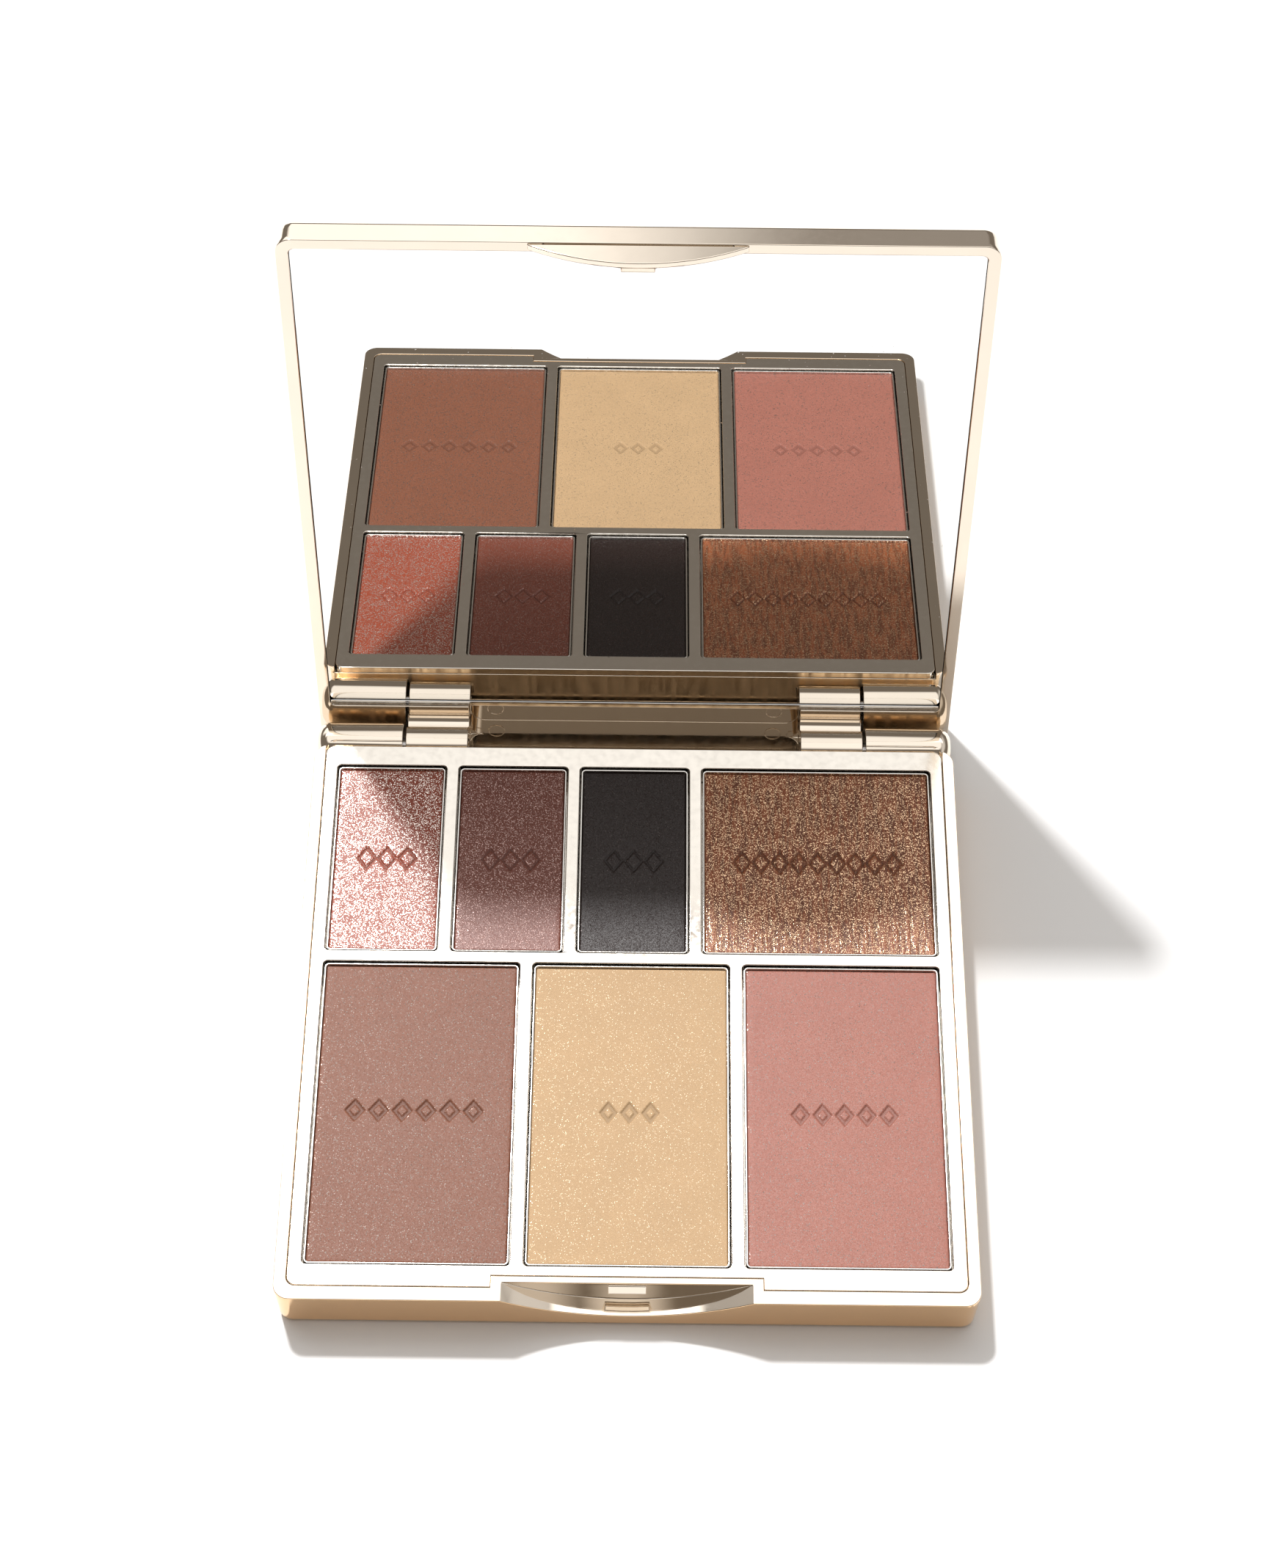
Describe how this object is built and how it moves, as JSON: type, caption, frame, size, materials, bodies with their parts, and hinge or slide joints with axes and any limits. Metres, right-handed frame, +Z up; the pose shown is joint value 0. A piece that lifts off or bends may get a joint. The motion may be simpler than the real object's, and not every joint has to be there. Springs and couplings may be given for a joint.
{
  "type": "mirrored face powder palette",
  "caption": "Flat square make-up compact in gold-toned plastic: pressed powders in metal pans under a hinged lid with a full mirror.",
  "frame": {"origin": "centre of the flat underside of the base, which is the middle of the case's width and of its depth over the hinge barrels", "axes": "+X to the right of a person using the palette, +Y from the front wall to the hinge, +Z up from the table; the lid stands open"},
  "size_m": [0.13, 0.156, 0.1305],
  "materials": {
    "metallised_plastic": "mirror-bright champagne gold metallised",
    "tray_plastic": "mirror-bright pale gold metallised",
    "pan_metal": "bright drawn sheet",
    "pin_steel": "plain drawn wire",
    "mirror_glass": "silvered glass",
    "adhesive": "soft glue",
    "powder_copper_shimmer": "pressed powder with coarse shimmer",
    "powder_burgundy": "matt pressed powder",
    "powder_soft_black": "matt pressed powder",
    "powder_gold_shimmer": "pressed powder with brushed shimmer",
    "powder_bronze": "pressed powder with fine shimmer",
    "powder_beige": "matt pressed powder",
    "powder_rose": "matt pressed powder"
  },
  "bodies": {
    "base": {"base_shell": "metallised_plastic", "pan_tray": "tray_plastic", "pan_adhesive": "adhesive", "pan_eye_left": "pan_metal", "pan_eye_centre": "pan_metal", "pan_eye_right": "pan_metal", "pan_highlight": "pan_metal", "pan_bronze": "pan_metal", "pan_set": "pan_metal", "pan_blush": "pan_metal", "powder_eye_left": "powder_copper_shimmer", "powder_eye_centre": "powder_burgundy", "powder_eye_right": "powder_soft_black", "powder_highlight": "powder_gold_shimmer", "powder_bronze": "powder_bronze", "powder_set": "powder_beige", "powder_blush": "powder_rose", "latch_catch": "metallised_plastic", "hinge_pin_left": "pin_steel", "hinge_pin_right": "pin_steel"},
    "lid": {"lid_shell": "metallised_plastic", "mirror_frame": "tray_plastic", "mirror_adhesive": "adhesive", "mirror": "mirror_glass", "latch_tongue": "metallised_plastic"}
  },
  "joints": [
    {"name": "lid_hinge", "type": "hinge", "parent": "base", "child": "lid", "pos_m": [0, 0.0611, 0.0054], "axis": [1, 0, 0], "range_deg": [-1, 98]}
  ]
}
